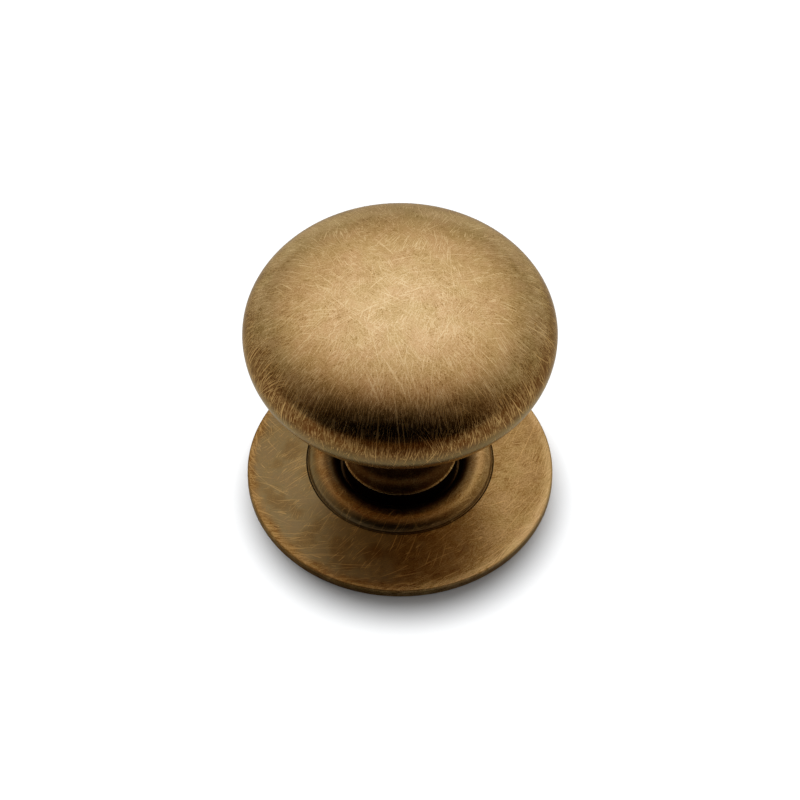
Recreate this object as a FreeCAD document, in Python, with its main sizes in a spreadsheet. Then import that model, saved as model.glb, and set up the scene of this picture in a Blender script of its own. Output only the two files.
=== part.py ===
# Turned brass cabinet knob: a bun-shaped head on a waisted neck, standing on a separate round
# backplate. Lengths in millimetres. +Z runs out of the drawer front along the knob's axis, and
# the origin is the middle of the backplate's back face.
import FreeCAD, Part
import math
import os
import Sketcher

# Every size of the object, written once and driven from the spreadsheet. Angles in degrees.
SIZES = [
    # the head
    ("head_diameter", 38.0, "stock size, one and a half inch; the backplate matches it"),
    ("projection", 37.0, "from the drawer front to the top of the crown"),
    ("crown_height", 9.25, "elliptical crown above the widest line"),
    ("cap_radius", 4.0, "where the ellipse gives way to a round cap, from the axis"),
    ("shoulder_radius", 6.4, "round shoulder under the widest line"),
    ("underside_slope", 20.0, "underside of the head, rising outwards"),
    # the neck and its foot
    ("neck_diameter", 12.0, "waist of the neck"),
    ("neck_fillet", 4.0, "cove between the neck and the underside"),
    ("foot_flare", 1.1, "how far the foot stands out from the neck"),
    ("foot_height", 2.6, "upright land of the foot"),
    ("foot_cove", 3.0, "cove between the neck and the foot"),
    ("foot_arris", 0.15, "worn edge at the top of the foot"),
    # the tapped hole for the fixing screw, M4
    ("tap_diameter", 3.3, "bore before threading"),
    ("tap_depth", 12.0, "full bore, measured from the foot"),
    ("tap_lead_in", 4.4, "countersunk mouth of the bore"),
    ("drill_point_angle", 118.0, "cone left by the drill at the end"),
    # the backplate
    ("rim_height", 0.8, "upright edge of the plate"),
    ("rim_arris", 0.3, "worn edge at the top of the rim"),
    ("seat_height", 2.2, "floor of the socket, where the foot stands"),
    ("socket_clearance", 0.25, "round the foot, on the radius"),
    ("bead_radius", 2.1, "raised bead round the socket"),
    ("bead_foot_angle", 16.0, "up the bead from its centre, where the plate meets it"),
    ("quirk_radius", 0.2, "fine turned groove along the bead's outer foot"),
    ("screw_clearance", 4.5, "plain hole for the M4 fixing screw"),
]

# The foot's radius, which the socket and the bead follow too.
FOOT_RADIUS = "Sizes.neck_diameter / 2 + Sizes.foot_flare"

# A curve's points in a sketch: 1 is its start, 2 its end, 3 its centre. Geometry -1 is the
# sketch's horizontal axis, which starts at the origin, and -2 its vertical axis.
START, END, CENTRE = 1, 2, 3
ORIGIN = -1
UPRIGHT = -2


def add_sheet(doc):
    """Put every size into one spreadsheet, one row each, with its name as the alias."""
    sheet = doc.addObject("Spreadsheet::Sheet", "Sizes")
    for row, (name, value, note) in enumerate(SIZES, start=1):
        sheet.set(f"A{row}", name)
        sheet.set(f"B{row}", str(value))
        sheet.set(f"C{row}", note)
        sheet.setAlias(f"B{row}", name)
    doc.recompute()


def add_sketch(body, name, role):
    """Add an empty sketch on one of the body's own origin planes."""
    sketch = body.newObject("Sketcher::SketchObject", name)
    for plane in body.Origin.OriginFeatures:
        if plane.Role == role:
            sketch.AttachmentSupport = [(plane, "")]
    sketch.MapMode = "FlatFace"
    return sketch


def line(sketch, start, end):
    first = FreeCAD.Vector(start[0], start[1], 0)
    last = FreeCAD.Vector(end[0], end[1], 0)
    return sketch.addGeometry(Part.LineSegment(first, last), False)


def circle_at(centre, radius):
    middle = FreeCAD.Vector(centre[0], centre[1], 0)
    return Part.Circle(middle, FreeCAD.Vector(0, 0, 1), radius)


def arc(sketch, centre, radius, start, end):
    """Add an arc that runs anticlockwise between two angles in radians."""
    curve = Part.ArcOfCircle(circle_at(centre, radius), start, end)
    return sketch.addGeometry(curve, False)


def rule(sketch, kind, *where):
    sketch.addConstraint(Sketcher.Constraint(kind, *where))


def join(sketch, pairs):
    """Make the two ends of each pair coincide."""
    for first, second in pairs:
        rule(sketch, "Coincident", *first, *second)


def blend(sketch, pairs):
    """Join the two ends of each pair so that one curve runs smoothly into the other."""
    for first, second in pairs:
        rule(sketch, "Tangent", *first, *second)


def size_rule(sketch, name, formula, value, kind, *where):
    """Add one dimension to a sketch and drive it from the spreadsheet."""
    index = sketch.addConstraint(Sketcher.Constraint(kind, *where, value))
    sketch.renameConstraint(index, name)
    sketch.setExpression(f"Constraints.{name}", formula)


def turn(body, kind, name, sketch):
    """Revolve a section a full circle round the sketch's upright axis."""
    feature = body.newObject(kind, name)
    feature.Profile = sketch
    feature.ReferenceAxis = (sketch, ["V_Axis"])
    feature.Angle = 360.0
    sketch.Visibility = False
    body.Document.recompute()


def add_hole(body, name, alias, diameter, height_formula=None, height=0.0):
    """Drill upwards along the axis from a circle that lies at the given height."""
    mouth = add_sketch(body, name + "Mouth", "XY_Plane")
    if height_formula:
        raised = FreeCAD.Vector(0, 0, height)
        mouth.AttachmentOffset = FreeCAD.Placement(raised, FreeCAD.Rotation())
        mouth.setExpression("AttachmentOffset.Base.z", height_formula)
    ring = mouth.addGeometry(circle_at((0, 0), diameter / 2), False)
    rule(mouth, "Coincident", ring, CENTRE, ORIGIN, START)
    size_rule(mouth, "radius", f"Sizes.{alias} / 2", diameter / 2, "Radius", ring)
    mouth.Visibility = False
    body.Document.recompute()
    hole = body.newObject("PartDesign::Hole", name)
    hole.Profile = mouth
    hole.Reversed = True
    hole.Threaded = False
    hole.setExpression("Diameter", f"Sizes.{alias}")
    return hole


def build_knob(doc, size):
    """Head, neck and foot: one solid turned from bar, with a tapped hole from below."""
    body = doc.addObject("PartDesign::Body", "KnobBody")
    body.Label = "knob"

    head_r = size["head_diameter"] / 2
    top = size["projection"]
    crown = size["crown_height"]
    widest = top - crown
    shoulder = size["shoulder_radius"]
    slope = math.radians(size["underside_slope"])
    neck_r = size["neck_diameter"] / 2
    fillet = size["neck_fillet"]
    foot_r = neck_r + size["foot_flare"]
    seat = size["seat_height"]
    foot_top = seat + size["foot_height"]
    cove = size["foot_cove"]
    arris = size["foot_arris"]
    cap_r = size["cap_radius"]

    # Where the curves of the section meet, so that the sketch starts out closed.
    shoulder_x = head_r - shoulder
    under_out_x = shoulder_x + shoulder * math.sin(slope)
    under_out_z = widest - shoulder * math.cos(slope)
    corner_z = under_out_z - (under_out_x - neck_r) * math.tan(slope)
    reach = fillet / math.tan((math.pi / 2 + slope) / 2)
    neck_top = corner_z - reach
    under_in_x = neck_r + reach * math.cos(slope)
    under_in_z = corner_z + reach * math.sin(slope)
    cove_x = neck_r + cove
    arris_x = foot_r - arris
    cove_z = foot_top + math.sqrt((cove + arris) ** 2 - (cove_x - arris_x) ** 2)
    arris_end = math.atan2(cove_z - foot_top, cove_x - arris_x)
    cap_start = math.acos(cap_r / head_r)
    cap_z = widest + crown * math.sin(cap_start)
    lean = math.atan2(cap_r / head_r**2, (cap_z - widest) / crown**2)
    cap = cap_r / math.sin(lean)

    section = add_sketch(body, "KnobSection", "XZ_Plane")
    axis = line(section, (0, top), (0, seat))
    floor = line(section, (0, seat), (foot_r, seat))
    land = line(section, (foot_r, seat), (foot_r, foot_top))
    arris_arc = arc(section, (arris_x, foot_top), arris, 0, arris_end)
    foot_arc = arc(section, (cove_x, cove_z), cove, math.pi, math.pi + arris_end)
    neck = line(section, (neck_r, cove_z), (neck_r, neck_top))
    neck_arc = arc(section, (neck_r + fillet, neck_top), fillet, math.pi / 2 + slope, math.pi)
    under = line(section, (under_in_x, under_in_z), (under_out_x, under_out_z))
    shoulder_arc = arc(section, (shoulder_x, widest), shoulder, slope - math.pi / 2, 0)
    oval = Part.Ellipse(FreeCAD.Vector(0, widest, 0), head_r, crown)
    crown_arc = section.addGeometry(Part.ArcOfEllipse(oval, 0, cap_start), False)
    section.exposeInternalGeometry(crown_arc)
    cap_arc = arc(section, (0, top - cap), cap, math.pi / 2 - lean, math.pi / 2)

    join(section, [
        ((axis, END), (floor, START)),
        ((floor, END), (land, START)),
        ((cap_arc, END), (axis, START)),
    ])
    blend(section, [
        ((land, END), (arris_arc, START)),
        ((arris_arc, END), (foot_arc, END)),
        ((foot_arc, START), (neck, START)),
        ((neck, END), (neck_arc, END)),
        ((neck_arc, START), (under, START)),
        ((under, END), (shoulder_arc, START)),
        ((shoulder_arc, END), (crown_arc, START)),
        ((crown_arc, END), (cap_arc, START)),
    ])
    rule(section, "PointOnObject", axis, START, UPRIGHT)
    rule(section, "Vertical", axis)
    rule(section, "Horizontal", floor)
    rule(section, "Vertical", land)
    rule(section, "Vertical", neck)
    rule(section, "PointOnObject", crown_arc, CENTRE, UPRIGHT)
    rule(section, "PointOnObject", cap_arc, CENTRE, UPRIGHT)
    rule(section, "Horizontal", crown_arc, CENTRE, crown_arc, START)
    rule(section, "Horizontal", shoulder_arc, CENTRE, shoulder_arc, END)

    size_rule(section, "projection", "Sizes.projection", top,
              "DistanceY", ORIGIN, START, axis, START)
    size_rule(section, "crown_height", "Sizes.crown_height", crown,
              "DistanceY", crown_arc, CENTRE, axis, START)
    size_rule(section, "head_radius", "Sizes.head_diameter / 2", head_r,
              "DistanceX", crown_arc, CENTRE, crown_arc, START)
    size_rule(section, "cap_radius", "Sizes.cap_radius", cap_r,
              "DistanceX", crown_arc, CENTRE, crown_arc, END)
    size_rule(section, "shoulder_radius", "Sizes.shoulder_radius", shoulder,
              "Radius", shoulder_arc)
    size_rule(section, "underside_slope", "Sizes.underside_slope * 1 deg", slope,
              "Angle", under)
    size_rule(section, "neck_radius", "Sizes.neck_diameter / 2", neck_r,
              "DistanceX", ORIGIN, START, neck, START)
    size_rule(section, "neck_fillet", "Sizes.neck_fillet", fillet,
              "Radius", neck_arc)
    size_rule(section, "foot_radius", FOOT_RADIUS, foot_r,
              "DistanceX", floor, START, floor, END)
    size_rule(section, "seat_height", "Sizes.seat_height", seat,
              "DistanceY", ORIGIN, START, axis, END)
    size_rule(section, "foot_height", "Sizes.foot_height", foot_top - seat,
              "DistanceY", land, START, land, END)
    size_rule(section, "foot_arris", "Sizes.foot_arris", arris,
              "Radius", arris_arc)
    size_rule(section, "foot_cove", "Sizes.foot_cove", cove,
              "Radius", foot_arc)
    turn(body, "PartDesign::Revolution", "TurnedKnob", section)

    hole = add_hole(body, "TappedHole", "tap_diameter", size["tap_diameter"],
                    "Sizes.seat_height", seat)
    hole.DepthType = "Dimension"
    hole.setExpression("Depth", "Sizes.tap_depth")
    hole.DrillPoint = "Angled"
    hole.setExpression("DrillPointAngle", "Sizes.drill_point_angle * 1 deg")
    hole.HoleCutType = "Countersink"
    hole.setExpression("HoleCutDiameter", "Sizes.tap_lead_in")
    hole.HoleCutCountersinkAngle = 90.0
    doc.recompute()
    return body


def build_backplate(doc, size):
    """A low cone with a raised bead round the socket that the knob's foot stands in."""
    body = doc.addObject("PartDesign::Body", "BackplateBody")
    body.Label = "backplate"

    plate_r = size["head_diameter"] / 2
    rim = size["rim_height"]
    arris = size["rim_arris"]
    seat = size["seat_height"]
    socket_r = size["neck_diameter"] / 2 + size["foot_flare"] + size["socket_clearance"]
    bead = size["bead_radius"]
    bead_x = socket_r + bead
    meet = math.radians(size["bead_foot_angle"])
    meet_x = bead_x + bead * math.cos(meet)
    meet_z = seat + bead * math.sin(meet)
    arris_x = plate_r - arris
    reach = math.hypot(arris_x - meet_x, rim - meet_z)
    slope = math.atan2(rim - meet_z, arris_x - meet_x) + math.asin(arris / reach)
    cone_x = arris_x - arris * math.sin(slope)
    cone_z = rim + arris * math.cos(slope)

    section = add_sketch(body, "PlateSection", "XZ_Plane")
    back = line(section, (0, 0), (plate_r, 0))
    edge = line(section, (plate_r, 0), (plate_r, rim))
    arris_arc = arc(section, (arris_x, rim), arris, 0, slope + math.pi / 2)
    cone = line(section, (cone_x, cone_z), (meet_x, meet_z))
    bead_arc = arc(section, (bead_x, seat), bead, meet, math.pi)
    floor = line(section, (socket_r, seat), (0, seat))
    axis = line(section, (0, seat), (0, 0))
    join(section, [
        ((back, START), (ORIGIN, START)),
        ((back, END), (edge, START)),
        ((cone, END), (bead_arc, START)),
        ((bead_arc, END), (floor, START)),
        ((floor, END), (axis, START)),
        ((axis, END), (back, START)),
    ])
    blend(section, [
        ((edge, END), (arris_arc, START)),
        ((arris_arc, END), (cone, START)),
    ])
    rule(section, "Horizontal", back)
    rule(section, "Vertical", edge)
    rule(section, "Horizontal", floor)
    rule(section, "Vertical", axis)
    rule(section, "Horizontal", bead_arc, CENTRE, floor, START)
    size_rule(section, "plate_radius", "Sizes.head_diameter / 2", plate_r,
              "DistanceX", back, START, back, END)
    size_rule(section, "rim_height", "Sizes.rim_height", rim,
              "DistanceY", edge, START, edge, END)
    size_rule(section, "rim_arris", "Sizes.rim_arris", arris,
              "Radius", arris_arc)
    size_rule(section, "seat_height", "Sizes.seat_height", seat,
              "DistanceY", axis, END, axis, START)
    size_rule(section, "socket_radius", f"{FOOT_RADIUS} + Sizes.socket_clearance",
              socket_r, "DistanceX", floor, END, floor, START)
    size_rule(section, "bead_radius", "Sizes.bead_radius", bead,
              "Radius", bead_arc)
    size_rule(section, "bead_foot", "Sizes.bead_radius * sin(Sizes.bead_foot_angle * 1 deg)",
              meet_z - seat, "DistanceY", bead_arc, CENTRE, bead_arc, START)
    turn(body, "PartDesign::Revolution", "TurnedPlate", section)

    # The quirk: a fine half-round groove, centred where the cone meets the bead.
    quirk = add_sketch(body, "QuirkSection", "XZ_Plane")
    tool = size["quirk_radius"]
    ring = quirk.addGeometry(circle_at((meet_x, meet_z), tool), False)
    size_rule(quirk, "quirk_radius", "Sizes.quirk_radius", tool, "Radius", ring)
    size_rule(quirk, "from_axis",
              f"{FOOT_RADIUS} + Sizes.socket_clearance"
              " + Sizes.bead_radius * (1 + cos(Sizes.bead_foot_angle * 1 deg))",
              meet_x, "DistanceX", ORIGIN, START, ring, CENTRE)
    size_rule(quirk, "height",
              "Sizes.seat_height + Sizes.bead_radius * sin(Sizes.bead_foot_angle * 1 deg)",
              meet_z, "DistanceY", ORIGIN, START, ring, CENTRE)
    turn(body, "PartDesign::Groove", "Quirk", quirk)

    hole = add_hole(body, "ScrewHole", "screw_clearance", size["screw_clearance"])
    hole.DepthType = "ThroughAll"
    doc.recompute()
    return body


def check(doc, bodies):
    """Stop unless every object is up to date and every body is one valid solid."""
    for item in doc.Objects:
        if "Invalid" in item.State or "Error" in item.State:
            raise ValueError(f"{item.Name} is {item.State}")
        if item.TypeId == "Sketcher::SketchObject" and item.FullyConstrained is False:
            raise ValueError(f"{item.Name} isn't fully constrained")
    for body in bodies:
        shape = body.Shape
        if shape.isNull() or not shape.isValid() or len(shape.Solids) != 1:
            raise ValueError(f"{body.Label} isn't one valid solid")


def main():
    doc = FreeCAD.newDocument("CabinetKnob")
    add_sheet(doc)
    size = {name: value for name, value, note in SIZES}
    bodies = [build_knob(doc, size), build_backplate(doc, size)]
    doc.recompute()
    check(doc, bodies)
    os.makedirs("parts", exist_ok=True)
    for body in bodies:
        body.Shape.exportStep(f"parts/{body.Label}.step")
        box = body.Shape.BoundBox
        print(body.Label, round(body.Shape.Volume, 2), "mm3, z", box.ZMin, box.ZMax)


main()
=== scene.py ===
import math
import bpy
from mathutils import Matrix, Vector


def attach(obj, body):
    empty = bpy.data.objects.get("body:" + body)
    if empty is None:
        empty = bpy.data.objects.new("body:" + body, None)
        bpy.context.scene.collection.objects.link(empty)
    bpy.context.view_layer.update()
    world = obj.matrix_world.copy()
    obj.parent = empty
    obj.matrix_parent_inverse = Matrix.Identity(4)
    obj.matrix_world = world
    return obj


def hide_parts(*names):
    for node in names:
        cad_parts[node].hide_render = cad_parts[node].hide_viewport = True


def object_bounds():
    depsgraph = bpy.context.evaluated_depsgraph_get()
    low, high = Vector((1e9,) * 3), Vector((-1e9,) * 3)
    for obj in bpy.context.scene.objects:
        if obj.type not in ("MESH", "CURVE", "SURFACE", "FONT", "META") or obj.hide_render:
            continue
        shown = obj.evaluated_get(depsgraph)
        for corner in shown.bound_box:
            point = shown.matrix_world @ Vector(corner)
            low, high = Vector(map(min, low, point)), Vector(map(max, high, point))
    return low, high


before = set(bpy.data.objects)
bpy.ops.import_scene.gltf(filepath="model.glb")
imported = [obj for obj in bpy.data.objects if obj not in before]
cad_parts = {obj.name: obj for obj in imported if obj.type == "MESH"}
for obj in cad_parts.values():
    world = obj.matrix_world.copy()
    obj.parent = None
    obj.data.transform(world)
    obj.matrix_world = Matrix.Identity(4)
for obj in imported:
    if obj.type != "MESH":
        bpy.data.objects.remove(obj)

from types import SimpleNamespace

import bmesh
import bpy
from bpy.props import FloatProperty, FloatVectorProperty, IntProperty, PointerProperty
from mathutils import Matrix, Vector

bl_info = {
    "name": "Turned Cabinet Knob",
    "version": (1, 0, 0),
    "blender": (4, 5, 0),
    "location": "3D View > Sidebar > Cabinet Knob",
    "description": "Turns a bun-shaped cabinet knob and its round backplate in brushed antique brass",
    "category": "Add Mesh",
}

# The CAD model's box. The turned pieces stay inside it, and the default sizes come from it.
CAD_LOW, CAD_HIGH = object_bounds()
CAD_DIAMETER = CAD_HIGH[0] - CAD_LOW[0]
CAD_PROJECTION = CAD_HIGH[2] - CAD_LOW[2]
MM = 0.001


def linear(code):
    """Linear colour of an sRGB hex value such as "#C8A06A"."""
    values = [int(code[i:i + 2], 16) / 255 for i in (1, 3, 5)]
    return [v / 12.92 if v <= 0.04045 else ((v + 0.055) / 1.055) ** 2.4 for v in values]


def length(name, description, default):
    """A size in metres that a user may change, written here in millimetres."""
    return FloatProperty(name=name, description=description, default=default * MM,
                         min=0.0, unit="LENGTH", subtype="DISTANCE", precision=5)


def angle(name, description, default):
    """An angle in radians that a user may change, written here in degrees."""
    return FloatProperty(name=name, description=description, default=math.radians(default),
                         unit="ROTATION", subtype="ANGLE")


def colour(name, description, code):
    """A linear colour that a user may change, written here as sRGB hex."""
    return FloatVectorProperty(name=name, description=description, default=linear(code),
                               size=3, min=0.0, max=1.0, subtype="COLOR")


# Sizes and colours.

class KnobSizes(bpy.types.PropertyGroup):
    """Sizes of the knob, which is turned and tapped in one piece."""
    head_diameter: length("Head diameter", "Widest line of the head", CAD_DIAMETER / MM)
    projection: length("Projection", "From the drawer front to the crown", CAD_PROJECTION / MM)
    crown_height: length("Crown height", "Elliptical crown above the widest line", 9.25)
    cap_radius: length("Cap radius", "Where the ellipse gives way to a round cap", 4.0)
    shoulder_radius: length("Shoulder radius", "Round shoulder under the widest line", 6.4)
    underside_slope: angle("Underside slope", "Underside of the head, rising outwards", 20.0)
    neck_diameter: length("Neck diameter", "Waist of the neck", 12.0)
    neck_fillet: length("Neck fillet", "Cove between the neck and the underside", 4.0)
    foot_flare: length("Foot flare", "How far the foot stands out from the neck", 1.1)
    foot_height: length("Foot height", "Upright land of the foot", 2.6)
    foot_cove: length("Foot cove", "Cove between the neck and the foot", 3.0)
    foot_arris: length("Foot arris", "Worn edge at the top of the foot", 0.15)
    tap_diameter: length("Tap diameter", "Bore before threading", 3.3)
    tap_depth: length("Tap depth", "Full bore, from the foot", 12.0)
    tap_lead_in: length("Tap lead-in", "Countersunk mouth of the bore", 4.4)
    thread_diameter: length("Thread diameter", "Outside diameter of the M4 thread", 4.0)
    thread_pitch: length("Thread pitch", "Rise of the M4 thread in one turn", 0.7)
    drill_point: angle("Drill point", "Cone left by the drill at the end", 118.0)


class BackplateSizes(bpy.types.PropertyGroup):
    """Sizes of the backplate, a low cone with a bead round the socket."""
    rim_height: length("Rim height", "Upright edge of the plate", 0.8)
    rim_arris: length("Rim arris", "Worn edge at the top of the rim", 0.3)
    seat_height: length("Seat height", "Floor of the socket, where the foot stands", 2.2)
    socket_clearance: length("Socket clearance", "Gap round the foot", 0.25)
    bead_radius: length("Bead radius", "Raised bead round the socket", 2.1)
    bead_foot_angle: angle("Bead foot", "Up the bead, where the plate meets it", 16.0)
    quirk_radius: length("Quirk radius", "Fine groove at the bead's outer foot", 0.2)
    screw_clearance: length("Screw hole", "Plain hole for the M4 fixing screw", 4.5)


class BrassFinish(bpy.types.PropertyGroup):
    """Colours of the antique brass."""
    brass: colour("Brass", "Alloy where the brushing has bared it", "#DDC08F")
    hairline: colour("Hairline", "Fresh metal in the hairlines on bare brass", "#FFEDC2")
    golden: colour("Golden hairline", "Hairlines that only rub through the patina", "#E8C17E")
    rubbed: colour("Rubbed", "Golden orange where the patina is rubbed thin", "#A98A53")
    patina: colour("Patina", "Brown patina that the brushing has left", "#6C4219")
    # Also painted shade and painted reflection: olive darkens the plate's left and greys the band
    # under the knob's widest line.
    olive: colour("Olive patina", "Greyer patina in blotches of the plate", "#857552")
    # Also painted shade: this dark colour darkens the underside of the head, the neck, the foot and
    # the bead's inside.
    tarnish_and_shade: colour("Tarnish", "Dark patina in specks and recesses", "#241204")
    edge: colour("Edge", "Tint of the metal seen at a low angle", "#FFF4DA")
    hairline_width: length("Hairline width", "Width of one hairline", 0.11)
    blotch_size: length("Blotches", "Blotches of patina", 4.5)
    cloud_size: length("Clouds", "Smaller clouds in the blotches", 1.3)
    hue_size: length("Hue", "Patches of greener and pinker brass", 3.0)
    grit_size: length("Grit", "Finest specks", 0.16)


class StudioSettings(bpy.types.PropertyGroup):
    """The camera, the floor and the light round the knob."""
    elevation: angle("Elevation", "Camera above the horizon", 51.75)
    distance: length("Distance", "From the camera to the point it looks at", 600.0)
    target_height: length("Target height", "Height of the point it looks at", 14.72)
    focal_length: FloatProperty(name="Focal length", description="On a 36 mm wide sensor",
                                default=220.6, min=1.0, unit="CAMERA")
    floor: colour("Floor", "White paper", "#D5D6D7")
    # Painted reflection: Mirrored floor sets how light the paper is painted where the brass sees it,
    # and the next colour is the painted shade it takes in front.
    mirrored: FloatProperty(name="Mirrored floor", description="How white the brass mirrors it",
                            default=0.35, min=0.0, max=1.0, subtype="FACTOR")
    painted_floor_shade: colour("Dark room", "What the brass mirrors of the table in front", "#523F29")
    warm_edge: colour("Warm edge", "Lights towards their edge", "#FFCE95")
    lamp_strength: FloatProperty(name="Paper lamp", description="Light that reaches only the paper",
                                 default=3.9, min=0.0)
    lamp_width: angle("Lamp width", "A wider lamp throws a softer shadow", 11.0)


class CabinetKnobSettings(bpy.types.PropertyGroup):
    """Everything that the panel lists."""
    knob: PointerProperty(type=KnobSizes)
    backplate: PointerProperty(type=BackplateSizes)
    finish: PointerProperty(type=BrassFinish)
    studio: PointerProperty(type=StudioSettings)
    facets: IntProperty(name="Facets", description="Facets in one full turn",
                        default=160, min=24, max=360)


# Turning.

class Lathe:
    """Draws the half section of a turned piece in the XZ plane, then turns it round Z."""

    def __init__(self, x, z):
        self.bm = bmesh.new()
        self.start = self.tip = self.bm.verts.new((x, 0, z))

    def line(self, x, z, steps=1):
        """Straight to (x, z)."""
        step = (Vector((x, 0, z)) - self.tip.co) / steps
        for _ in range(steps):
            grown = bmesh.ops.extrude_vert_indiv(self.bm, verts=[self.tip])
            self.tip = grown["verts"][0]
            bmesh.ops.translate(self.bm, verts=[self.tip], vec=step)

    def arc(self, x, z, sweep, steps):
        """Round the centre (x, z), anticlockwise where the sweep is positive."""
        known = set(self.bm.verts)
        grown = bmesh.ops.spin(self.bm, geom=[self.tip], cent=(x, 0, z), axis=(0, -1, 0),
                               angle=sweep, steps=steps)
        self.tip = [g for g in grown["geom_last"] if isinstance(g, bmesh.types.BMVert)][0]
        return [v for v in self.bm.verts if v not in known]

    def oval(self, x, z, sweep, steps, flat):
        """As an arc, then pressed flat towards the height of its centre."""
        drawn = self.arc(x, z, sweep, steps)
        bmesh.ops.scale(self.bm, vec=(1, 1, flat), verts=drawn,
                        space=Matrix.Translation((0, 0, -z)))

    def close(self):
        """Join the section's last point to its first."""
        self.bm.edges.new((self.tip, self.start))

    def turn(self, facets):
        """The full turn, with the seam and the poles closed and the faces outwards."""
        bm = self.bm
        bmesh.ops.spin(bm, geom=bm.verts[:] + bm.edges[:], cent=(0, 0, 0), axis=(0, 0, 1),
                       angle=math.tau, steps=facets, use_merge=True)
        bmesh.ops.remove_doubles(bm, verts=bm.verts, dist=1e-7)
        bmesh.ops.recalc_face_normals(bm, faces=bm.faces)

    def finish(self, name, material):
        """The turned mesh as an object, smooth but for its real corners."""
        bm = self.bm
        if any(len(edge.link_faces) != 2 for edge in bm.edges):
            raise ValueError(f"{name} isn't closed")
        for face in bm.faces:
            face.smooth = True
        for edge in bm.edges:
            edge.smooth = edge.calc_face_angle() < math.radians(32)
        mesh = bpy.data.meshes.new(name)
        bm.to_mesh(mesh)
        bm.free()
        piece = bpy.data.objects.new(name, mesh)
        bpy.context.scene.collection.objects.link(piece)
        mesh.materials.append(material)
        return piece


def cut_thread(bm, bore, depth, pitch, low, high):
    """Cut a right-hand thread of that depth into the plain wall of a bore.

    Root and crest are flat for a sixth of the pitch each, and the thread runs out over one turn
    at both ends.
    """
    half_root, half_flank_end = 1 / 12, 5 / 12
    for v in bm.verts:
        r = math.hypot(v.co.x, v.co.y)
        if abs(r - bore) > 0.01 * MM or not low < v.co.z < high:
            continue
        phase = (v.co.z / pitch - math.atan2(v.co.y, v.co.x) / math.tau) % 1.0
        flank = (half_flank_end - abs(phase - 0.5)) / (half_flank_end - half_root)
        groove = min(1.0, max(0.0, flank))
        runout = min(1.0, (v.co.z - low) / pitch, (high - v.co.z) / pitch)
        v.co.xy *= 1 + groove * runout * depth / r


# Materials.

def add(tree, kind, links=(), out=0, **settings):
    """Add one node with its settings and links, and return one of its outputs.

    Links go by place in a tuple or by socket in a dictionary, from a socket or as a value.
    """
    node = tree.nodes.new(kind)
    for key, value in settings.items():
        setattr(node, key, value)
    for key, value in (links if isinstance(links, dict) else dict(enumerate(links))).items():
        if isinstance(value, bpy.types.NodeSocket):
            tree.links.new(value, node.inputs[key])
        else:
            node.inputs[key].default_value = value
    return node.outputs[out] if node.outputs else None


# Coats of hairlines, from the longest strokes to the shortest: where the coat's pattern is taken
# from, the size of one swipe of the pad (mm), the hairlines' width as a share of the finish's
# hairline width, their length (mm), the share of the zone's density, and how strongly they show.
# In the last coat the hairlines are dark, with patina left in them.
COATS = (
    ((11.0, 3.0, 7.0), 12.0, 1.1, 6.0, 0.34, 1.0),
    ((71.0, 13.0, 37.0), 9.0, 1.05, 5.0, 0.36, 1.0),
    ((29.0, 17.0, 2.0), 7.5, 1.0, 4.0, 0.40, 0.95),
    ((43.0, 71.0, 13.0), 6.2, 1.0, 3.2, 0.42, 0.9),
    ((61.0, 8.0, 25.0), 5.0, 0.95, 2.4, 0.46, 0.9),
    ((23.0, 53.0, 5.0), 4.0, 0.9, 1.7, 0.52, 0.85),
    ((5.0, 41.0, 23.0), 3.0, 0.85, 1.1, 0.58, 0.8),
    ((47.0, 9.0, 31.0), 2.0, 0.8, 0.7, 0.64, 0.7),
    ((2.0, 27.0, 53.0), 3.0, 0.9, 0.8, 0.80, 1.0),
)


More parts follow.
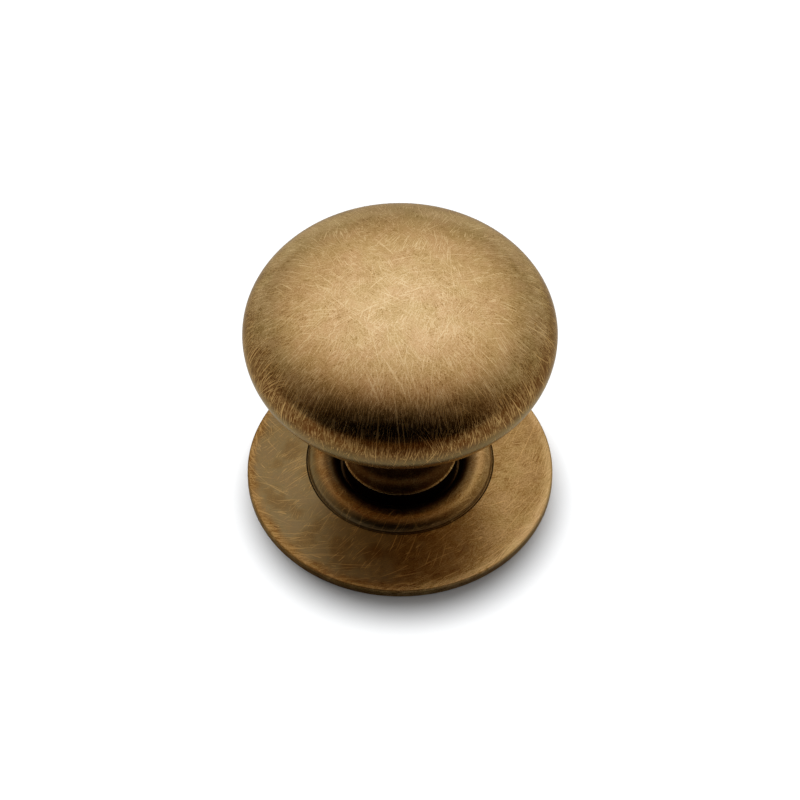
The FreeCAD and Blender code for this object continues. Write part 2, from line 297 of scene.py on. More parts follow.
def swipe_group():
    """One coat of hairlines: every cell of the surface is one swipe of the abrasive pad.

    A swipe has its own direction in the surface and its own slight bend. The hairlines in it run
    side by side, and they fade out at its edge. Towards the rim the swipes lean: outwards and
    down by Radial, along the rim by Around. Slant leans all of them one way. Lengths are in mm.
    """
    name = "Abrasive swipes"
    if name in bpy.data.node_groups:
        return bpy.data.node_groups[name]
    tree = bpy.data.node_groups.new(name, "ShaderNodeTree")
    for socket in ("Point", "Normal", "Seed", "Slant"):
        tree.interface.new_socket(socket, in_out="INPUT", socket_type="NodeSocketVector")
    for socket in ("Radial", "Around", "Swipe", "Width", "Length", "Density"):
        tree.interface.new_socket(socket, in_out="INPUT", socket_type="NodeSocketFloat")
    tree.interface.new_socket("Lines", in_out="OUTPUT", socket_type="NodeSocketFloat")
    given = add(tree, "NodeGroupInput").node.outputs
    normal = given["Normal"]

    point = add(tree, "ShaderNodeVectorMath", (given["Point"], given["Seed"]), operation="ADD")
    scale = add(tree, "ShaderNodeMath", (1.0, given["Swipe"]), operation="DIVIDE")
    cell = add(tree, "ShaderNodeTexVoronoi", {"Vector": point, "Scale": scale}).node.outputs
    drawn_x, drawn_y, drawn_z = add(tree, "ShaderNodeSeparateXYZ", (cell["Color"],)).node.outputs
    away = add(tree, "ShaderNodeVectorMath", (point, cell["Position"]), operation="SUBTRACT")

    # The lean, at the middle of the swipe. Down the shoulder it starts 13 mm in from the rim,
    # and along the rim 4 mm in.
    edge_r = CAD_DIAMETER / 2 / MM
    middle = add(tree, "ShaderNodeVectorMath", (cell["Position"], given["Seed"]),
                 operation="SUBTRACT")
    middle = add(tree, "ShaderNodeVectorMath", (middle, (1, 1, 0)), operation="MULTIPLY")
    radius = add(tree, "ShaderNodeVectorMath", (middle,), out=1, operation="LENGTH")
    rim = add(tree, "ShaderNodeMapRange", (radius, edge_r - 13.0, edge_r),
              interpolation_type="SMOOTHSTEP")
    radial = add(tree, "ShaderNodeMath", (rim, given["Radial"]), operation="MULTIPLY")
    outward = add(tree, "ShaderNodeVectorMath", (middle,), operation="NORMALIZE")
    down = add(tree, "ShaderNodeVectorMath", (outward, (0, 0, -1)), operation="ADD")
    lean = add(tree, "ShaderNodeVectorMath", {0: down, "Scale": radial}, operation="SCALE")
    rim = add(tree, "ShaderNodeMapRange", (radius, edge_r - 4.0, edge_r - 0.5),
              interpolation_type="SMOOTHSTEP")
    turning = add(tree, "ShaderNodeMath", (rim, given["Around"]), operation="MULTIPLY")
    around = add(tree, "ShaderNodeVectorMath", ((0, 0, 1), outward), operation="CROSS_PRODUCT")
    around = add(tree, "ShaderNodeVectorMath", {0: around, "Scale": turning}, operation="SCALE")
    lean = add(tree, "ShaderNodeVectorMath", (lean, around), operation="ADD")
    lean = add(tree, "ShaderNodeVectorMath", (lean, given["Slant"]), operation="ADD")

    # The swipe's direction in the surface, and the direction across it.
    drawn = add(tree, "ShaderNodeVectorMath", (cell["Color"], (0.5, 0.5, 0.5)),
                operation="SUBTRACT")
    drawn = add(tree, "ShaderNodeVectorMath", (drawn, lean), operation="ADD")
    along = add(tree, "ShaderNodeVectorMath", (drawn, normal), operation="PROJECT")
    along = add(tree, "ShaderNodeVectorMath", (drawn, along), operation="SUBTRACT")
    along = add(tree, "ShaderNodeVectorMath", (along,), operation="NORMALIZE")
    across = add(tree, "ShaderNodeVectorMath", (normal, along), operation="CROSS_PRODUCT")
    u = add(tree, "ShaderNodeVectorMath", (away, along), out=1, operation="DOT_PRODUCT")
    v = add(tree, "ShaderNodeVectorMath", (away, across), out=1, operation="DOT_PRODUCT")

    # Along a swipe its hairlines fan out and bend, each swipe by its own share of these.
    fan_most, bend_most = 0.8, 0.16
    reach = add(tree, "ShaderNodeMath", (u, scale), operation="MULTIPLY")
    fan = add(tree, "ShaderNodeMapRange", (drawn_y, 0.0, 1.0, -fan_most, fan_most))
    fan = add(tree, "ShaderNodeMath", (fan, reach, 1.0), operation="MULTIPLY_ADD")
    v = add(tree, "ShaderNodeMath", (v, fan), operation="MULTIPLY")
    bend = add(tree, "ShaderNodeMapRange", (drawn_x, 0.0, 1.0, -bend_most, bend_most))
    bend = add(tree, "ShaderNodeMath", (bend, reach), operation="MULTIPLY")
    v = add(tree, "ShaderNodeMath", (bend, u, v), operation="MULTIPLY_ADD")

    # Hairlines are the crests of a noise that is stretched along the swipe. Each swipe takes its
    # own place in the noise. A denser zone counts lower crests.
    v = add(tree, "ShaderNodeMath", (v, given["Width"]), operation="DIVIDE")
    v = add(tree, "ShaderNodeMath", (drawn_y, 97.0, v), operation="MULTIPLY_ADD")
    u = add(tree, "ShaderNodeMath", (u, given["Length"]), operation="DIVIDE")
    u = add(tree, "ShaderNodeMath", (drawn_z, 83.0, u), operation="MULTIPLY_ADD")
    streak = add(tree, "ShaderNodeCombineXYZ", (v, u))
    grain = add(tree, "ShaderNodeTexNoise", {"Vector": streak, "Scale": 0.7, "Detail": 0.0},
                noise_dimensions="2D")
    floor = add(tree, "ShaderNodeMath", (given["Density"], -0.3, 0.86), operation="MULTIPLY_ADD")
    crest = add(tree, "ShaderNodeMath", (floor, 0.07), operation="ADD")
    lines = add(tree, "ShaderNodeMapRange", (grain, floor, crest),
                interpolation_type="SMOOTHSTEP")

    # They fade out towards the swipe's edge, and some swipes press less than others.
    edge = add(tree, "ShaderNodeMapRange", (cell["Distance"], 0.45, 0.85, 1.0, 0.0),
               interpolation_type="SMOOTHSTEP")
    press = add(tree, "ShaderNodeMapRange", (drawn_z, 0.0, 1.0, 0.55, 1.0))
    edge = add(tree, "ShaderNodeMath", (edge, press), operation="MULTIPLY")
    lines = add(tree, "ShaderNodeMath", (lines, edge), operation="MULTIPLY")
    add(tree, "NodeGroupOutput", {"Lines": lines})
    return tree


def knob_wear(tree, settings, at):
    """How far the pad has reached on the knob. Lengths are in mm.

    It bares the crown most where it faces up: worn bare there, and also painted light on top of the
    crown and painted shade towards its sides. It slips off below the widest line and never reaches
    the underside, the neck and the foot, which stay dark: patina, and also painted shade under the
    head. Towards the rim its strokes run up and down.
    """
    size, finish = settings.knob, settings.finish
    widest = (size.projection - size.crown_height) / MM
    foot_r = (size.neck_diameter / 2 + size.foot_flare) / MM
    foot_top = (settings.backplate.seat_height + size.foot_height) / MM

    # Wear and painted light: the ground is barest where the surface faces up, so the crown is painted
    # light on top and painted shade towards its sides.
    bared = add(tree, "ShaderNodeMapRange", (at.upward, 0.36, 1.02),
                interpolation_type="SMOOTHSTEP")
    # Patina and painted shade: below the widest line, on the neck and on the foot the brass is left
    # dark, which also paints the shade under the head.
    shelter_and_shade = add(tree, "ShaderNodeMapRange", (at.height, widest - 2.75, widest - 6.25),
                  interpolation_type="SMOOTHSTEP")
    reached = add(tree, "ShaderNodeMath", (1.0, shelter_and_shade), operation="SUBTRACT")
    bared = add(tree, "ShaderNodeMath", (bared, reached), operation="MULTIPLY")
    ground = add(tree, "ShaderNodeMath", (bared, 0.72, 0.10), operation="MULTIPLY_ADD")

    # The foot's top edge is rubbed a little.
    foot = add(tree, "ShaderNodeMapRange", (at.radius, foot_r - 0.24, foot_r - 0.1),
               interpolation_type="SMOOTHSTEP")
    top = add(tree, "ShaderNodeMapRange", (at.height, foot_top - 0.2, foot_top),
              interpolation_type="SMOOTHSTEP")
    foot = add(tree, "ShaderNodeMath", (foot, top), operation="MULTIPLY")
    foot = add(tree, "ShaderNodeMath", (foot, shelter_and_shade), operation="MULTIPLY")
    ground = add(tree, "ShaderNodeMath", (foot, 0.3, ground), operation="MULTIPLY_ADD")
    shelter_and_shade = add(tree, "ShaderNodeMath", (foot, -1.0, shelter_and_shade), operation="MULTIPLY_ADD")

    # There are fewer strokes under the widest line, and more on the front than on the back.
    under = add(tree, "ShaderNodeMapRange", (at.height, widest + 0.85, widest - 1.55),
                interpolation_type="SMOOTHSTEP")
    front = add(tree, "ShaderNodeMapRange", (at.back, 12.0, -18.0, -0.16, 0.26))
    density = add(tree, "ShaderNodeMath", (bared, 0.04, 0.76), operation="MULTIPLY_ADD")
    density = add(tree, "ShaderNodeMath", (under, -0.7, density), operation="MULTIPLY_ADD")
    density = add(tree, "ShaderNodeMath", (density, front), operation="ADD")

    # The patina is olive in the band under the widest line, and brown elsewhere. The olive band is
    # also a painted reflection: it stands for the greyer table that the low shoulder mirrors.
    band = add(tree, "ShaderNodeMapRange", (at.height, widest - 7.75, widest - 3.75),
               interpolation_type="SMOOTHSTEP")
    olive = add(tree, "ShaderNodeMath", (under, band), operation="MULTIPLY")
    patina = add(tree, "ShaderNodeMix",
                 {0: olive, 6: (*finish.patina, 1), 7: (*finish.olive, 1)}, out=2,
                 data_type="RGBA")
    rough = add(tree, "ShaderNodeMath", (shelter_and_shade, 0.16, 0.22), operation="MULTIPLY_ADD")
    # The last number sets how dark the patina and the painted shade are where the pad doesn't reach.
    return SimpleNamespace(ground=ground, shelter_and_shade=shelter_and_shade, density=density, patina=patina,
                           rough=rough, slant=(0.0, 0.0, 0.0), radial=1.7, around=0.0,
                           longer=1.0, fresh=1.0, uneven=0.6, tarnish_and_shade_depth=0.62)


def plate_wear(tree, settings, at):
    """How far the pad has reached on the backplate. Lengths are in mm.

    It is brushed lightly, one way, and round the rim along the edge. It is rubbed on the bead's
    crest and on the rim. It is painted lighter and more golden on the right, with more hairlines
    there: painted light. The patina is olive on the left, which is painted shade, and in blotches.
    """
    size, finish = settings.backplate, settings.finish
    rim_r = settings.knob.head_diameter / 2 / MM
    bead_x = (settings.knob.neck_diameter / 2 + settings.knob.foot_flare
              + size.socket_clearance + size.bead_radius) / MM
    quirk_x = bead_x + size.bead_radius * math.cos(size.bead_foot_angle) / MM

    # Only the face is worn and sheltered so, and not the back.
    face = add(tree, "ShaderNodeMath", (at.height, 0.3), operation="GREATER_THAN")
    crest = add(tree, "ShaderNodeMapRange", (at.radius, bead_x - 1.15, bead_x + 0.15),
                interpolation_type="SMOOTHSTEP")
    outer = add(tree, "ShaderNodeMapRange", (at.radius, bead_x + 1.75, bead_x + 0.75),
                interpolation_type="SMOOTHSTEP")
    crest = add(tree, "ShaderNodeMath", (crest, outer), operation="MULTIPLY")
    crest = add(tree, "ShaderNodeMath", (crest, face), operation="MULTIPLY")
    rim = add(tree, "ShaderNodeMapRange", (at.radius, rim_r - 1.6, rim_r - 0.2),
              interpolation_type="SMOOTHSTEP")
    # Painted light: the right side is painted more rubbed and golden, and gets more hairlines.
    right = add(tree, "ShaderNodeMapRange", (at.side, -6.0, 15.0, 0.0, 0.34),
                interpolation_type="SMOOTHSTEP")
    ground = add(tree, "ShaderNodeMath", (crest, 0.13, right), operation="MULTIPLY_ADD")
    ground = add(tree, "ShaderNodeMath", (rim, 0.24, ground), operation="MULTIPLY_ADD")
    ground = add(tree, "ShaderNodeMath", (ground, 0.05), operation="ADD")
    density = add(tree, "ShaderNodeMath", (right, 0.3, 0.5), operation="MULTIPLY_ADD")
    density = add(tree, "ShaderNodeMath", (rim, 0.5, density), operation="MULTIPLY_ADD")

    # The quirk and the inside of the bead are sheltered and left dark: patina in the quirk, and
    # painted shade on the bead's inside round the socket, under the head.
    quirk = add(tree, "ShaderNodeMath", (at.radius, quirk_x, size.quirk_radius / MM),
                operation="COMPARE")
    shelter_and_shade = add(tree, "ShaderNodeMapRange", (at.radius, bead_x + 0.55, bead_x - 1.05),
                  interpolation_type="SMOOTHSTEP")
    shelter_and_shade = add(tree, "ShaderNodeMath", (quirk, 0.6, shelter_and_shade), operation="MULTIPLY_ADD")
    shelter_and_shade = add(tree, "ShaderNodeMath", (shelter_and_shade, face), operation="MULTIPLY")

    # Painted shade: the patina turns olive towards the left, and also in random blotches.
    olive = add(tree, "ShaderNodeMapRange", (at.side, 6.0, -10.0),
                interpolation_type="SMOOTHSTEP")
    patch = add(tree, "ShaderNodeMapRange", (at.hue, 0.3, 0.7, -0.4, 0.4),
                interpolation_type="SMOOTHSTEP")
    olive = add(tree, "ShaderNodeMath", (olive, patch), operation="ADD")
    worn = add(tree, "ShaderNodeMath", (crest, rim), operation="ADD")
    olive = add(tree, "ShaderNodeMath", (olive, worn), operation="SUBTRACT", use_clamp=True)
    patina = add(tree, "ShaderNodeMix",
                 {0: olive, 6: (*finish.patina, 1), 7: (*finish.olive, 1)}, out=2,
                 data_type="RGBA")
    return SimpleNamespace(ground=ground, shelter_and_shade=shelter_and_shade, density=density, patina=patina,
                           rough=0.32, slant=(0.75, 0.6, 0.0), radial=0.0, around=1.3,
                           longer=1.7, fresh=0.7, uneven=0.3, tarnish_and_shade_depth=0.85)


def brushed_brass(name, settings, wear_of):
    """Antique brass: brown patina on turned brass, brushed back by hand with an abrasive pad.

    To the eye it is satin metal. Hairlines of fresh brass cross a tan ground, the patina is left
    in soft blotches, in specks and where the pad doesn't reach, where its dark is also painted
    shade under the head and round the socket, and raised edges are rubbed to a golden orange.
    wear_of says how far the pad has reached on the piece: how bare its ground is, partly as
    painted light, what is sheltered and painted in shade, how dense the hairlines are and how they
    lean.
    """
    finish = settings.finish
    material = bpy.data.materials.new(name)
    material.use_nodes = True
    tree = material.node_tree
    shader = tree.nodes["Principled BSDF"]
    where = add(tree, "ShaderNodeTexCoord").node.outputs
    normal = where["Normal"]
    point = add(tree, "ShaderNodeVectorMath", {0: where["Object"], "Scale": 1 / MM},
                operation="SCALE")
    flat = add(tree, "ShaderNodeVectorMath", (point, (1, 1, 0)), operation="MULTIPLY")
    side, back, height = add(tree, "ShaderNodeSeparateXYZ", (point,)).node.outputs

    # The grit of the real finish is finer than 0.16 mm, and is drawn as coarse as it shows.
    blotch, cloud, hue, grit = (
        add(tree, "ShaderNodeTexNoise",
            {"Vector": add(tree, "ShaderNodeVectorMath", (point, place), operation="ADD"),
             "Scale": MM / size, "Detail": detail, "Roughness": rough})
        for place, size, detail, rough in (((0.0, 0.0, 0.0), finish.blotch_size, 3.0, 0.55),
                                           ((31.0, 5.0, 9.0), finish.cloud_size, 3.0, 0.6),
                                           ((3.0, 67.0, 19.0), finish.hue_size, 2.0, 0.5),
                                           ((3.0, 45.0, 7.0), finish.grit_size, 2.0, 0.7)))
    at = SimpleNamespace(
        side=side, back=back, height=height, hue=hue,
        radius=add(tree, "ShaderNodeVectorMath", (flat,), out=1, operation="LENGTH"),
        upward=add(tree, "ShaderNodeSeparateXYZ", (normal,), out=2))
    wear = wear_of(tree, settings, at)

    # Real hairlines are 0.02 to 0.1 mm wide: those under a pixel are drawn as wide as a pixel.
    coats = []
    for seed, swipe, wide, stroke, share, strength in COATS:
        density = add(tree, "ShaderNodeMath", (wear.density, share), operation="MULTIPLY")
        coat = add(tree, "ShaderNodeGroup",
                   {"Point": point, "Normal": normal, "Seed": seed, "Slant": wear.slant,
                    "Radial": wear.radial, "Around": wear.around, "Swipe": swipe,
                    "Width": wide * finish.hairline_width / MM,
                    "Length": stroke * wear.longer, "Density": density},
                   node_tree=swipe_group())
        coats.append(add(tree, "ShaderNodeMath", (coat, strength), operation="MULTIPLY"))
    dark_lines = coats.pop()
    lines = 0.0
    for coat in coats:
        lines = add(tree, "ShaderNodeMath", (lines, coat), operation="MAXIMUM")

    # The ground: patina rubbed to golden orange and then to bare brass, in blotches.
    brushed = wear.ground
    for noise, least, most in ((blotch, -0.15, 0.15), (cloud, -0.13, 0.13), (grit, -0.45, 0.36)):
        patchy = add(tree, "ShaderNodeMapRange",
                     (noise, 0.3, 0.7, least * wear.uneven, most * wear.uneven),
                     interpolation_type="SMOOTHSTEP")
        brushed = add(tree, "ShaderNodeMath", (brushed, patchy), operation="ADD")
    brushed = add(tree, "ShaderNodeMath", (dark_lines, -0.25, brushed),
                  operation="MULTIPLY_ADD", use_clamp=True)
    rubbed = add(tree, "ShaderNodeMapRange", (brushed, 0.0, 0.5))
    tone = add(tree, "ShaderNodeMix", {0: rubbed, 6: wear.patina, 7: (*finish.rubbed, 1)}, out=2,
               data_type="RGBA")
    bare = add(tree, "ShaderNodeMapRange", (brushed, 0.3, 0.95))
    tone = add(tree, "ShaderNodeMix", {0: bare, 6: tone, 7: (*finish.brass, 1)}, out=2,
               data_type="RGBA")

    # Its hue drifts a little between greener and pinker.
    drift = add(tree, "ShaderNodeMapRange", (hue, 0.3, 0.7), interpolation_type="SMOOTHSTEP")
    tint = add(tree, "ShaderNodeMix", {0: drift, 6: (0.98, 1.0, 0.96, 1),
                                       7: (1.02, 0.99, 1.03, 1)}, out=2, data_type="RGBA")
    tone = add(tree, "ShaderNodeMix", {0: 1.0, 6: tone, 7: tint}, out=2, data_type="RGBA",
               blend_type="MULTIPLY")

    # Tarnish in specks and where the pad doesn't reach, where it is also painted shade, and over it
    # all the fresh hairlines.
    specks = add(tree, "ShaderNodeMapRange", (grit, 0.64, 0.74, 0.0, 0.5),
                 interpolation_type="SMOOTHSTEP")
    dark = add(tree, "ShaderNodeMath", (wear.shelter_and_shade, wear.tarnish_and_shade_depth), operation="MULTIPLY")
    dark = add(tree, "ShaderNodeMath", (dark, specks), operation="MAXIMUM", use_clamp=True)
    tone = add(tree, "ShaderNodeMix", {0: dark, 6: tone, 7: (*finish.tarnish_and_shade, 1)}, out=2,
               data_type="RGBA")
    fresh = add(tree, "ShaderNodeMath", (lines, wear.fresh), operation="MULTIPLY")
    missed = add(tree, "ShaderNodeMapRange", (wear.shelter_and_shade, 0.0, 1.0, 1.0, 0.12))
    fresh = add(tree, "ShaderNodeMath", (fresh, missed), operation="MULTIPLY")
    through = add(tree, "ShaderNodeMapRange", (brushed, 0.3, 0.88))
    line = add(tree, "ShaderNodeMix", {0: through, 6: (*finish.golden, 1),
                                       7: (*finish.hairline, 1)}, out=2, data_type="RGBA")
    tone = add(tree, "ShaderNodeMix", {0: fresh, 6: tone, 7: line}, out=2, data_type="RGBA")
    tree.links.new(tone, shader.inputs["Base Color"])
    shader.inputs["Metallic"].default_value = 1.0
    shader.inputs["Specular Tint"].default_value = (*finish.edge, 1)

    rough = add(tree, "ShaderNodeMath", (lines, 0.17, wear.rough), operation="MULTIPLY_ADD")
    patchy = add(tree, "ShaderNodeMapRange", (cloud, 0.3, 0.7, -0.03, 0.03))
    rough = add(tree, "ShaderNodeMath", (rough, patchy), operation="ADD")
    tree.links.new(rough, shader.inputs["Roughness"])

    # The hairlines are too shallow to show as relief. The ground is uneven by 5 microns.
    relief = add(tree, "ShaderNodeMath", (grit, 0.6, cloud), operation="MULTIPLY_ADD")
    bump = add(tree, "ShaderNodeBump", {"Height": relief, "Distance": 0.005 * MM,
                                        "Strength": 1.0})
    tree.links.new(bump, shader.inputs["Normal"])
    return material


# Operators.

class MESH_OT_turned_knob(bpy.types.Operator):
    """Turn the knob: head, neck and foot in one piece, with a tapped hole from below"""
    bl_idname = "mesh.turned_knob"
    bl_label = "Knob"
    bl_options = {"REGISTER", "UNDO"}

    def execute(self, context):
        settings = context.scene.cabinet_knob
        size = settings.knob
        head_r = size.head_diameter / 2
        top = size.projection
        crown = size.crown_height
        widest = top - crown
        shoulder = size.shoulder_radius
        slope = size.underside_slope
        neck_r = size.neck_diameter / 2
        fillet = size.neck_fillet
        foot_r = neck_r + size.foot_flare
        seat = settings.backplate.seat_height
        foot_top = seat + size.foot_height
        cove = size.foot_cove
        arris = size.foot_arris
        bore = size.tap_diameter / 2

        # Where the curves of the section run into each other.
        shoulder_x = head_r - shoulder
        under_x = shoulder_x + shoulder * math.sin(slope)
        under_z = widest - shoulder * math.cos(slope)
        reach = fillet / math.tan((math.pi / 2 + slope) / 2)
        neck_top = under_z - (under_x - neck_r) * math.tan(slope) - reach
        cove_x = neck_r + cove
        arris_x = foot_r - arris
        cove_z = foot_top + math.sqrt((cove + arris) ** 2 - (cove_x - arris_x) ** 2)
        meet = math.atan2(cove_z - foot_top, cove_x - arris_x)
        if neck_top < cove_z:
            raise ValueError("The neck is too short for its two coves")

        # The oval's half height is such that the cap on it ends exactly at the crown's height.
        # Four rounds settle it.
        oval_sweep = math.acos(size.cap_radius / head_r)
        oval = crown
        for _ in range(4):
            rise = oval * math.sin(oval_sweep)
            lean = math.atan2(size.cap_radius / head_r ** 2, rise / oval ** 2)
            cap = size.cap_radius / math.sin(lean)
            oval *= crown / (rise + cap * (1 - math.cos(lean)))

        # The bore ends in the drill's point. Its wall has about eight steps to a turn of thread.
        mouth = size.tap_lead_in / 2
        bore_low = seat + mouth - bore
        bore_high = seat + size.tap_depth
        section = Lathe(0, bore_high + bore / math.tan(size.drill_point / 2))
        section.line(bore, bore_high)
        section.line(bore, bore_low, steps=132)
        section.line(mouth, seat)
        section.line(foot_r, seat, steps=3)
        section.line(foot_r, foot_top, steps=5)
        section.arc(arris_x, foot_top, meet, steps=6)
        section.arc(cove_x, cove_z, -meet, steps=16)
        section.line(neck_r, neck_top, steps=6)
        section.arc(neck_r + fillet, neck_top, slope - math.pi / 2, steps=24)
        section.line(under_x, under_z, steps=8)
        section.arc(shoulder_x, widest, math.pi / 2 - slope, steps=40)
        section.oval(0, widest, oval_sweep, steps=60, flat=oval / head_r)
        section.arc(0, widest + rise - cap * math.cos(lean), lean, steps=8)
        # The crown's last point lies exactly on the axis, so that the pole closes.
        section.tip.co.x = 0.0
        section.turn(settings.facets)
        cut_thread(section.bm, bore, (size.thread_diameter - size.tap_diameter) / 2,
                   size.thread_pitch, bore_low, bore_high)

        # Turned solid brass, patinated and brushed by hand.
        brass = brushed_brass("Brushed antique brass, knob", settings, knob_wear)
        knob = section.finish("turned_knob", brass)
        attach(knob, "root")
        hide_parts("knob")
        return {"FINISHED"}


class MESH_OT_turned_backplate(bpy.types.Operator):
    """Turn the backplate: a low cone with a quirk and a raised bead round the socket"""
    bl_idname = "mesh.turned_backplate"
    bl_label = "Backplate"
    bl_options = {"REGISTER", "UNDO"}

    def execute(self, context):
        settings = context.scene.cabinet_knob
        size = settings.backplate
        plate_r = settings.knob.head_diameter / 2
        rim = size.rim_height
        arris = size.rim_arris
        seat = size.seat_height
        socket_r = (settings.knob.neck_diameter / 2 + settings.knob.foot_flare
                    + size.socket_clearance)
        bead = size.bead_radius
        bead_x = socket_r + bead
        meet = size.bead_foot_angle
        meet_x = bead_x + bead * math.cos(meet)
        meet_z = seat + bead * math.sin(meet)
        arris_x = plate_r - arris
        reach = math.hypot(arris_x - meet_x, meet_z - rim)
        slope = math.asin(arris / reach) - math.atan2(meet_z - rim, arris_x - meet_x)
        quirk = size.quirk_radius
        hole = size.screw_clearance / 2

        # The quirk's circle runs from the cone, round below, to a chord's length up the bead.
        climb = 2 * math.asin(quirk / (2 * bead))
        lip_x = bead_x + bead * math.cos(meet + climb)
        lip_z = seat + bead * math.sin(meet + climb)
        lip = math.atan2(lip_z - meet_z, lip_x - meet_x)

        section = Lathe(hole, 0)
        section.line(plate_r, 0, steps=4)
        section.line(plate_r, rim, steps=2)
        section.arc(arris_x, rim, slope + math.pi / 2, steps=8)
        section.line(meet_x + quirk * math.cos(slope), meet_z + quirk * math.sin(slope), steps=12)
        section.arc(meet_x, meet_z, lip - slope - math.tau, steps=14)
        section.arc(bead_x, seat, math.pi - meet - climb, steps=44)
        section.line(hole, seat, steps=4)
        section.close()
        section.turn(settings.facets)

        # The same turned brass as the knob, brushed more lightly.
        brass = brushed_brass("Brushed antique brass, plate", settings, plate_wear)
        backplate = section.finish("turned_backplate", brass)
        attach(backplate, "root")
        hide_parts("backplate")
        return {"FINISHED"}


class SCENE_OT_knob_studio(bpy.types.Operator):
    """Lay the white floor, set up the soft light and place the camera"""
    bl_idname = "scene.knob_studio"
    bl_label = "Studio"
    bl_options = {"REGISTER", "UNDO"}

    def execute(self, context):
        scene = context.scene
        studio = scene.cabinet_knob.studio
        self.lay_floor(scene, studio)
        self.light(scene, studio)
        self.place_camera(scene, studio)
        scene.view_settings.view_transform = "Standard"
        return {"FINISHED"}

    def lay_floor(self, scene, studio):
        """Matt white paper, wide enough to have no edge in view, a hair under the plate."""
        bm = bmesh.new()
        bmesh.ops.create_grid(bm, x_segments=1, y_segments=1, size=6.0,
                              matrix=Matrix.Translation((0, 0, -0.01 * MM)))
        mesh = bpy.data.meshes.new("Paper floor")
        bm.to_mesh(mesh)
        bm.free()
        floor = bpy.data.objects.new("Paper floor", mesh)
        scene.collection.objects.link(floor)

        # No gloss at all. The camera and clear things see it white. What the brass mirrors of it is
        # painted
        # shade and painted light: the paper's colour for gloss is painted dim, lighter next to the
        # knob and behind it, and dark brown in front.
        paper = bpy.data.materials.new("Matt white paper")
        paper.use_nodes = True
        tree = paper.node_tree
        shader = tree.nodes["Principled BSDF"]
        ray = add(tree, "ShaderNodeLightPath").node.outputs
        place = add(tree, "ShaderNodeTexCoord", out=3)
        x, y, _ = add(tree, "ShaderNodeSeparateXYZ", (place,)).node.outputs
        x = add(tree, "ShaderNodeMath", (x,), operation="ABSOLUTE")
        back = add(tree, "ShaderNodeMath", (x, 0.7, y), operation="MULTIPLY_ADD")
        # Painted reflection: the paper as the brass sees it is painted darker towards the front, and
        # painted lighter next to the knob just below.
        painted_floor_dimming = add(tree, "ShaderNodeMapRange", (back, -92 * MM, -30 * MM, 0.0, studio.mirrored),
                  interpolation_type="SMOOTHSTEP")
        painted_light_beside = add(tree, "ShaderNodeMapRange", (x, 14 * MM, 34 * MM, 1.0, 1.35),
                     interpolation_type="SMOOTHSTEP")
        painted_floor_dimming = add(tree, "ShaderNodeMath", (painted_floor_dimming, painted_light_beside), operation="MULTIPLY")
        white = add(tree, "ShaderNodeMath", (ray["Is Glossy Ray"], painted_floor_dimming), operation="MULTIPLY")
        for sees_white in ("Is Camera Ray", "Is Transmission Ray"):
            white = add(tree, "ShaderNodeMath", (white, ray[sees_white]), operation="ADD")
        shade = add(tree, "ShaderNodeMix", {0: white, 6: (*studio.painted_floor_shade, 1),
                                            7: (*studio.floor, 1)}, out=2, data_type="RGBA")
        tree.links.new(shade, shader.inputs["Base Color"])
        shader.inputs["Roughness"].default_value = 1.0
        shader.inputs["Specular IOR Level"].default_value = 0.0

        # The paper is cut out under the plate and clear from below, so that the underside can
        # be looked at.
        cut_out = CAD_DIAMETER / 2 - 0.1 * MM
        under = add(tree, "ShaderNodeVectorMath", (place,), out=1, operation="LENGTH")
        under = add(tree, "ShaderNodeMath", (under, cut_out), operation="LESS_THAN")
        below = add(tree, "ShaderNodeNewGeometry").node.outputs["Backfacing"]
        below = add(tree, "ShaderNodeMath", (under, below), operation="MAXIMUM")
        clear = add(tree, "ShaderNodeBsdfTransparent")
        sheet = add(tree, "ShaderNodeMixShader", (below, shader.outputs[0], clear))
        tree.links.new(sheet, tree.nodes["Material Output"].inputs["Surface"])
        mesh.materials.append(paper)

    def light(self, scene, studio):
        """A wide soft box overhead, leaning back, and a dimmer wall behind. The front is dark."""
        world = bpy.data.worlds.new("Soft studio")
        world.use_nodes = True
        scene.world = world
        tree = world.node_tree
        background = tree.nodes["Background"]
        way = add(tree, "ShaderNodeTexCoord")
        lean = math.radians(26)
        soft_box = (0, math.sin(lean), math.cos(lean))
        wall = (0.12, 1, 0)

        # Each light begins and is full at these cosines from its middle. Its tint may pass 1.
        glow = (0.0, 0.0, 0.0)
        for middle, begins, full, strength, tint in (
                (soft_box, 0.44, 1.34, 0.88, (1.0, 1.18, 1.5)),
                (wall, -0.86, 0.34, 0.48, (1.0, 0.9, 0.74))):
            facing = add(tree, "ShaderNodeVectorMath", (way, middle), out=1,
                         operation="DOT_PRODUCT")
            lobe = add(tree, "ShaderNodeMapRange", (facing, begins, full),
                       interpolation_type="SMOOTHSTEP")
            tone = add(tree, "ShaderNodeMix", {0: lobe, 6: (*studio.warm_edge, 1),
                                               7: (*tint, 1)}, out=2, data_type="RGBA",
                       clamp_factor=True)
            lobe = add(tree, "ShaderNodeMath", (lobe, strength), operation="MULTIPLY")
            lobe = add(tree, "ShaderNodeVectorMath", {0: tone, "Scale": lobe}, operation="SCALE")
            glow = add(tree, "ShaderNodeVectorMath", (glow, lobe), operation="ADD")

        # Paper takes the light's brightness alone, so its shadow is grey. The camera sees white.
        plain = add(tree, "ShaderNodeRGBToBW", (glow,))
        ray = add(tree, "ShaderNodeLightPath").node.outputs
        glow = add(tree, "ShaderNodeMix", {0: ray["Is Glossy Ray"], 6: plain, 7: glow}, out=2,
                   data_type="RGBA")
        for sees_white in ("Is Camera Ray", "Is Transmission Ray"):
            glow = add(tree, "ShaderNodeMix", {0: ray[sees_white], 6: glow, 7: (1, 1, 1, 1)},
                       out=2, data_type="RGBA")
        tree.links.new(glow, background.inputs["Color"])

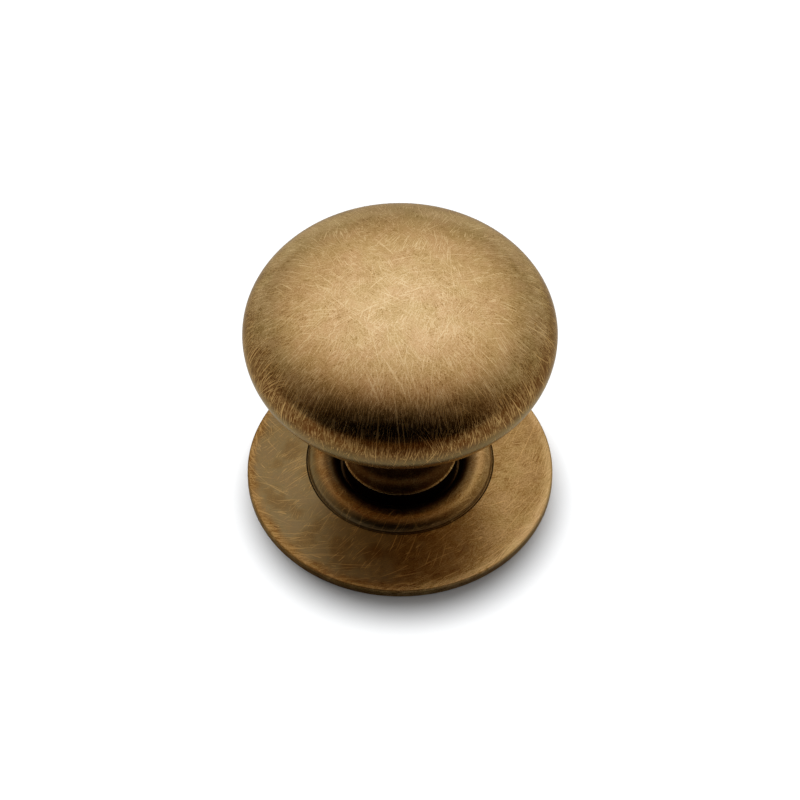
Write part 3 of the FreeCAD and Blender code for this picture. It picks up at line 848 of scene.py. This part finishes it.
        # A lamp for the paper alone: bare metal only mirrors, so a lamp that can't be seen in
        # gloss doesn't reach it. Almost overhead, so the knob's shadow stays close round it.
        lamp = bpy.data.lights.new("Paper lamp", "SUN")
        lamp.energy = studio.lamp_strength
        lamp.angle = studio.lamp_width
        sun = bpy.data.objects.new("Paper lamp", lamp)
        sun.rotation_euler = (math.radians(-7), math.radians(-0.8), 0)
        sun.visible_glossy = False
        scene.collection.objects.link(sun)

    def place_camera(self, scene, studio):
        """The camera stands in front of the knob and looks down at a point on its axis."""
        camera = bpy.data.cameras.new("Camera")
        camera.lens = studio.focal_length
        camera.sensor_width = 36.0
        camera.clip_start = 0.01
        camera.clip_end = 50.0
        eye = bpy.data.objects.new("Camera", camera)
        eye.location = (0, -studio.distance * math.cos(studio.elevation),
                        studio.target_height + studio.distance * math.sin(studio.elevation))
        eye.rotation_euler = (math.pi / 2 - studio.elevation, 0, 0)
        scene.collection.objects.link(eye)
        scene.camera = eye


class VIEW3D_PT_cabinet_knob(bpy.types.Panel):
    """The knob's sizes, colours and operators"""
    bl_idname = "VIEW3D_PT_cabinet_knob"
    bl_label = "Cabinet Knob"
    bl_space_type = "VIEW_3D"
    bl_region_type = "UI"
    bl_category = "Cabinet Knob"

    def draw(self, context):
        settings = context.scene.cabinet_knob
        layout = self.layout
        layout.prop(settings, "facets")
        for title, group in (("Knob", settings.knob), ("Backplate", settings.backplate),
                             ("Finish", settings.finish), ("Studio", settings.studio)):
            box = layout.box()
            box.label(text=title)
            for name in group.__annotations__:
                box.prop(group, name)
        for operator in (MESH_OT_turned_knob, MESH_OT_turned_backplate, SCENE_OT_knob_studio):
            layout.operator(operator.bl_idname)


CLASSES = (KnobSizes, BackplateSizes, BrassFinish, StudioSettings, CabinetKnobSettings,
           MESH_OT_turned_knob, MESH_OT_turned_backplate, SCENE_OT_knob_studio,
           VIEW3D_PT_cabinet_knob)


def register():
    for cls in CLASSES:
        bpy.utils.register_class(cls)
    bpy.types.Scene.cabinet_knob = PointerProperty(type=CabinetKnobSettings)


def unregister():
    del bpy.types.Scene.cabinet_knob
    for cls in reversed(CLASSES):
        bpy.utils.unregister_class(cls)


def main():
    register()
    bpy.ops.mesh.turned_knob()
    bpy.ops.mesh.turned_backplate()
    bpy.ops.scene.knob_studio()


if __name__ == "__main__":
    main()
